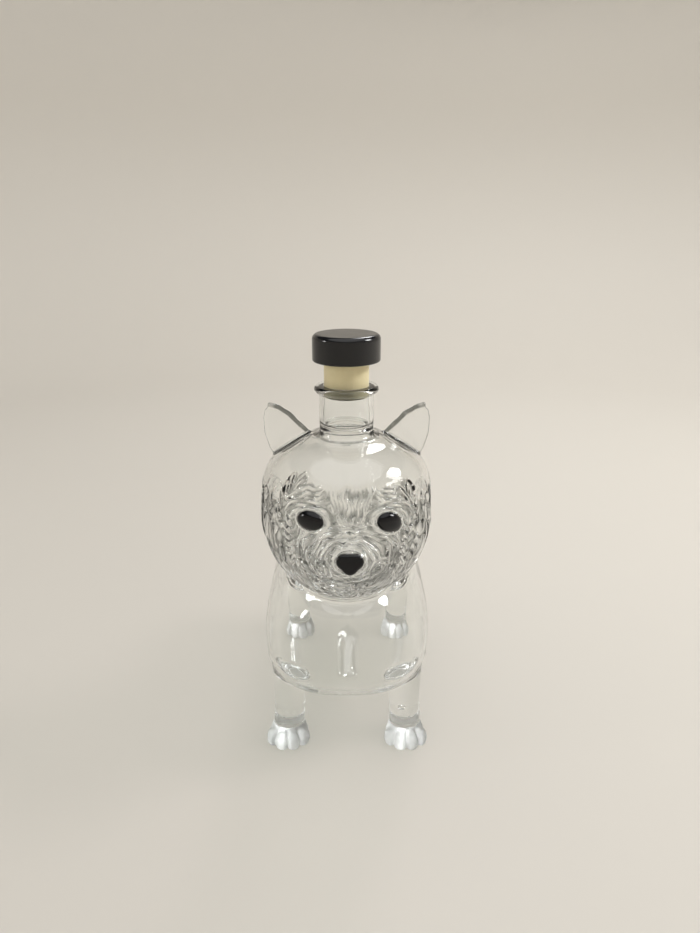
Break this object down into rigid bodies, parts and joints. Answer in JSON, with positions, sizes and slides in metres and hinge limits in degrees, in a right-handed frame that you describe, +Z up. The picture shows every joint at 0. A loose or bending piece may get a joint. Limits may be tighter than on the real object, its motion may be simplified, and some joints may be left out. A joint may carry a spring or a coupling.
{
  "type": "figural liquor decanter",
  "caption": "Clear glass bottle in the shape of a standing terrier, filled and poured through a neck on its head, which a push-in cork with a gloss cap closes.",
  "frame": {"origin": "on the resting surface, under the middle of the object's bounding box", "axes": "+Z up; the dog faces -Y; +X is the dog's own left side"},
  "size_m": [0.0864, 0.163, 0.203],
  "materials": {
    "clear_glass": "clear colourless borosilicate glass, fire polished",
    "black_glass": "opaque black glass, gloss",
    "cream_cork": "cream synthetic cork, satin",
    "black_cap": "black moulded plastic, gloss"
  },
  "bodies": {
    "bottle": {"body_bulb": "clear_glass", "head_shell": "clear_glass", "neck_tube": "clear_glass", "lip_ring": "clear_glass", "left_ear": "clear_glass", "front_left_leg": "clear_glass", "rear_left_leg": "clear_glass", "front_left_paw": "clear_glass", "rear_left_paw": "clear_glass", "right_ear": "clear_glass", "front_right_leg": "clear_glass", "rear_right_leg": "clear_glass", "front_right_paw": "clear_glass", "rear_right_paw": "clear_glass", "tail": "clear_glass", "left_eye": "black_glass", "right_eye": "black_glass", "nose": "black_glass"},
    "stopper": {"stopper_cap": "black_cap", "stopper_shank": "cream_cork"}
  },
  "joints": [
    {"name": "stopper_slide", "type": "slide", "parent": "bottle", "child": "stopper", "axis": [0, 0, 1], "range_m": [-0.0101, 0.03]}
  ]
}
